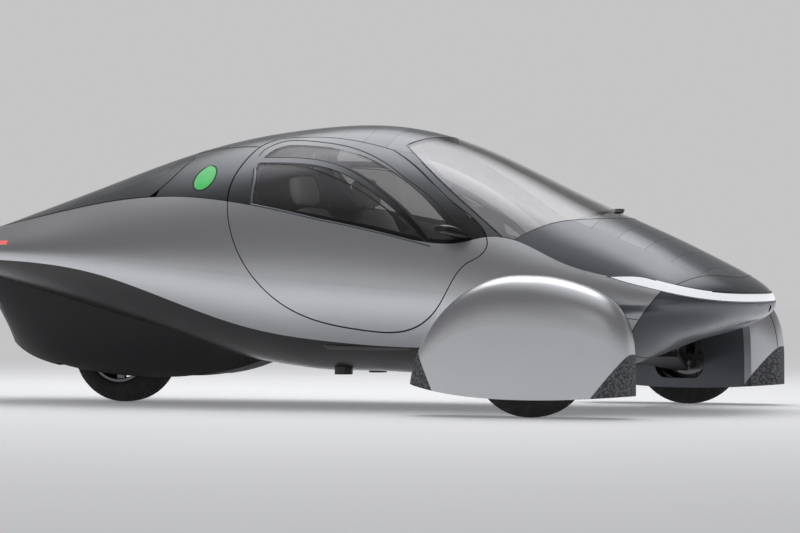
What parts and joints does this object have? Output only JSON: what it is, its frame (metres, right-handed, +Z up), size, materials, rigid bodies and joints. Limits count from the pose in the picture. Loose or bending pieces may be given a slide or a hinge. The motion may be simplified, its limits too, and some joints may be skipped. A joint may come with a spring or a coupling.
{
  "type": "three wheeled car",
  "caption": "Teardrop two seat car on three wheels with steered wheel pods, upward opening doors, a tail hatch and a hollow cabin.",
  "frame": {"origin": "on the ground under the middle of the car's box", "axes": "+X forward, +Y to the car's left, +Z up"},
  "size_m": [4.408, 2.2594, 1.3909],
  "materials": {
    "silver": "satin silver paint",
    "dark_gloss": "gloss charcoal with faint solar cells",
    "gloss_black": "gloss black",
    "matte_black": "matt black",
    "grey_composite": "speckled dark grey composite",
    "screen_glass": "tinted glass",
    "side_glass": "dark tinted glass",
    "white_lamp": "lit white lamp lens",
    "red_lamp": "red lamp lens",
    "green_lamp": "green lamp disc",
    "cast_metal": "black coated metal",
    "cabin_trim": "moulded cabin trim",
    "battery_case": "satin case",
    "seat_fabric": "pale woven seat fabric",
    "dark_plastic": "soft touch black",
    "tyre": "rubber",
    "rim": "dark satin rim"
  },
  "bodies": {
    "root": {"belly": "gloss_black", "nose_cap": "dark_gloss", "hood": "dark_gloss", "roof": "dark_gloss", "rear_pillar_left": "dark_gloss", "rear_pillar_right": "dark_gloss", "windscreen": "screen_glass", "fender_left": "silver", "fender_right": "silver", "quarter_left": "silver", "quarter_right": "silver", "tail_panel": "silver", "light_bar": "white_lamp", "tail_lamp": "red_lamp", "pillar_lamps": "green_lamp", "rear_fairing": "matte_black", "fairing_pad": "grey_composite", "front_arms": "cast_metal", "swing_arm": "cast_metal", "load_floor": "cabin_trim", "cabin_floor": "cabin_trim", "battery": "battery_case", "seat_left": "seat_fabric", "seat_right": "seat_fabric", "dashboard": "cabin_trim", "steering_wheel": "dark_plastic"},
    "door_left": {"door_skin_left": "silver", "door_frame_left": "dark_gloss", "door_glass_left": "side_glass", "camera_wing_left": "dark_gloss"},
    "steer_left": {"pod_left": "silver", "pod_liner_left": "matte_black", "pod_pads_left": "grey_composite", "knuckle_left": "cast_metal"},
    "wheel_front_left": {"tyre_front_left": "tyre", "rim_front_left": "rim"},
    "door_right": {"door_skin_right": "silver", "door_frame_right": "dark_gloss", "door_glass_right": "side_glass", "camera_wing_right": "dark_gloss"},
    "steer_right": {"pod_right": "silver", "pod_liner_right": "matte_black", "pod_pads_right": "grey_composite", "knuckle_right": "cast_metal"},
    "wheel_front_right": {"tyre_front_right": "tyre", "rim_front_right": "rim"},
    "wheel_rear": {"tyre_rear": "tyre", "rim_rear": "rim"},
    "tail_hatch": {"hatch": "dark_gloss"}
  },
  "joints": [
    {"name": "steer_left", "type": "hinge", "parent": "root", "child": "steer_left", "pos_m": [1.46, 0.9, 0.28], "axis": [0, 0, 1], "range_deg": [-24, 24]},
    {"name": "steer_right", "type": "hinge", "parent": "root", "child": "steer_right", "pos_m": [1.46, -0.9, 0.28], "axis": [0, 0, 1], "range_deg": [-24, 24]},
    {"name": "wheel_front_left_spin", "type": "hinge", "parent": "steer_left", "child": "wheel_front_left", "pos_m": [1.46, 0.98, 0.28], "axis": [0, 1, 0], "continuous": true},
    {"name": "wheel_front_right_spin", "type": "hinge", "parent": "steer_right", "child": "wheel_front_right", "pos_m": [1.46, -0.98, 0.28], "axis": [0, 1, 0], "continuous": true},
    {"name": "wheel_rear_spin", "type": "hinge", "parent": "root", "child": "wheel_rear", "pos_m": [-1.24, 0, 0.28], "axis": [0, 1, 0], "continuous": true},
    {"name": "door_left_swing", "type": "hinge", "parent": "root", "child": "door_left", "pos_m": [-0.22, 0.172, 1.328], "axis": [0.9821, 0.1637, -0.0937], "range_deg": [0, 70]},
    {"name": "door_right_swing", "type": "hinge", "parent": "root", "child": "door_right", "pos_m": [-0.22, -0.172, 1.328], "axis": [-0.9821, 0.1637, 0.0937], "range_deg": [0, 70]},
    {"name": "hatch_lift", "type": "hinge", "parent": "root", "child": "tail_hatch", "pos_m": [-0.7, 0, 1.262], "axis": [0, 1, 0], "range_deg": [0, 55]}
  ],
  "couplings": [
    {"joint": "steer_right", "follows": "steer_left", "ratio": 1}
  ]
}
